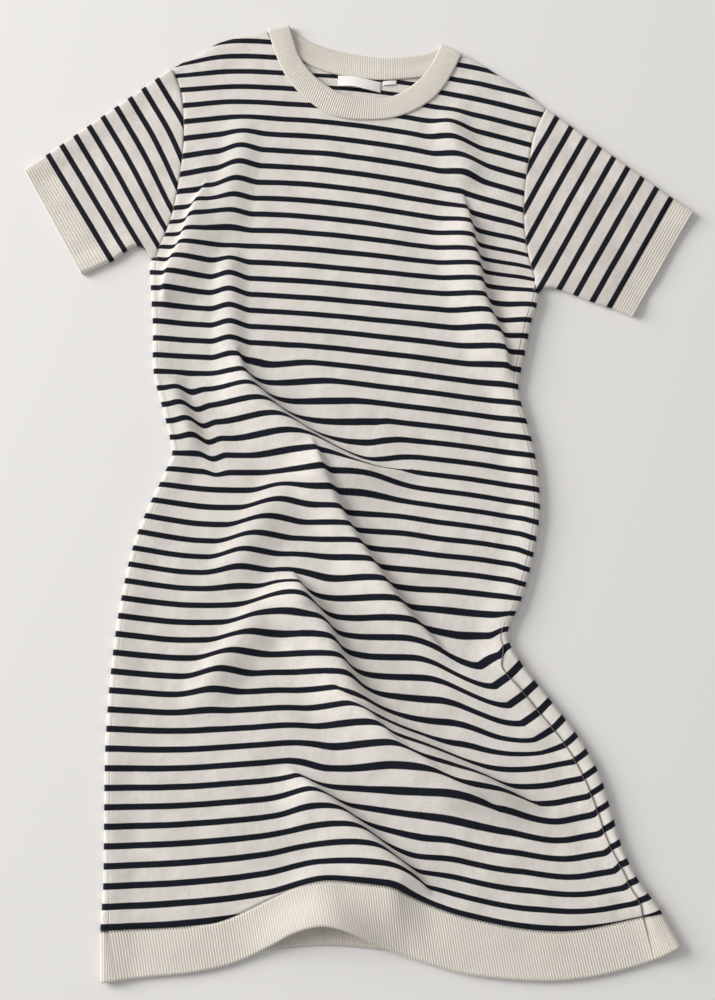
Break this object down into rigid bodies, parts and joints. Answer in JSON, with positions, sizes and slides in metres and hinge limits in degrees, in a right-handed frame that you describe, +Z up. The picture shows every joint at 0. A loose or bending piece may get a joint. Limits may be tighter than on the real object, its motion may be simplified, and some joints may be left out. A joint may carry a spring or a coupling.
{
  "type": "midi dress",
  "caption": "Short-sleeved striped knit midi dress with a round ribbed neck and a ribbed hem, laid flat with its front up.",
  "frame": {"origin": "on the surface that the dress lies on, under the middle of its bounding box", "axes": "+Z up from the surface, through the front; +Y towards the neck; +X to the right as the laid dress is seen from above"},
  "size_m": [0.836, 1.1719, 0.0252],
  "materials": {
    "striped_jersey": "fine knit jersey, cream with narrow navy stripes",
    "cream_rib": "cream ribbed knit",
    "label_tape": "smooth white woven tape"
  },
  "bodies": {
    "root": {"body_front": "striped_jersey", "body_back": "striped_jersey", "sleeve_left": "striped_jersey", "sleeve_right": "striped_jersey", "cuff_left": "cream_rib", "cuff_right": "cream_rib", "collar": "cream_rib", "hem_rib_front": "cream_rib", "hem_rib_back": "cream_rib", "neck_label": "label_tape", "neck_tab": "label_tape"}
  },
  "joints": []
}
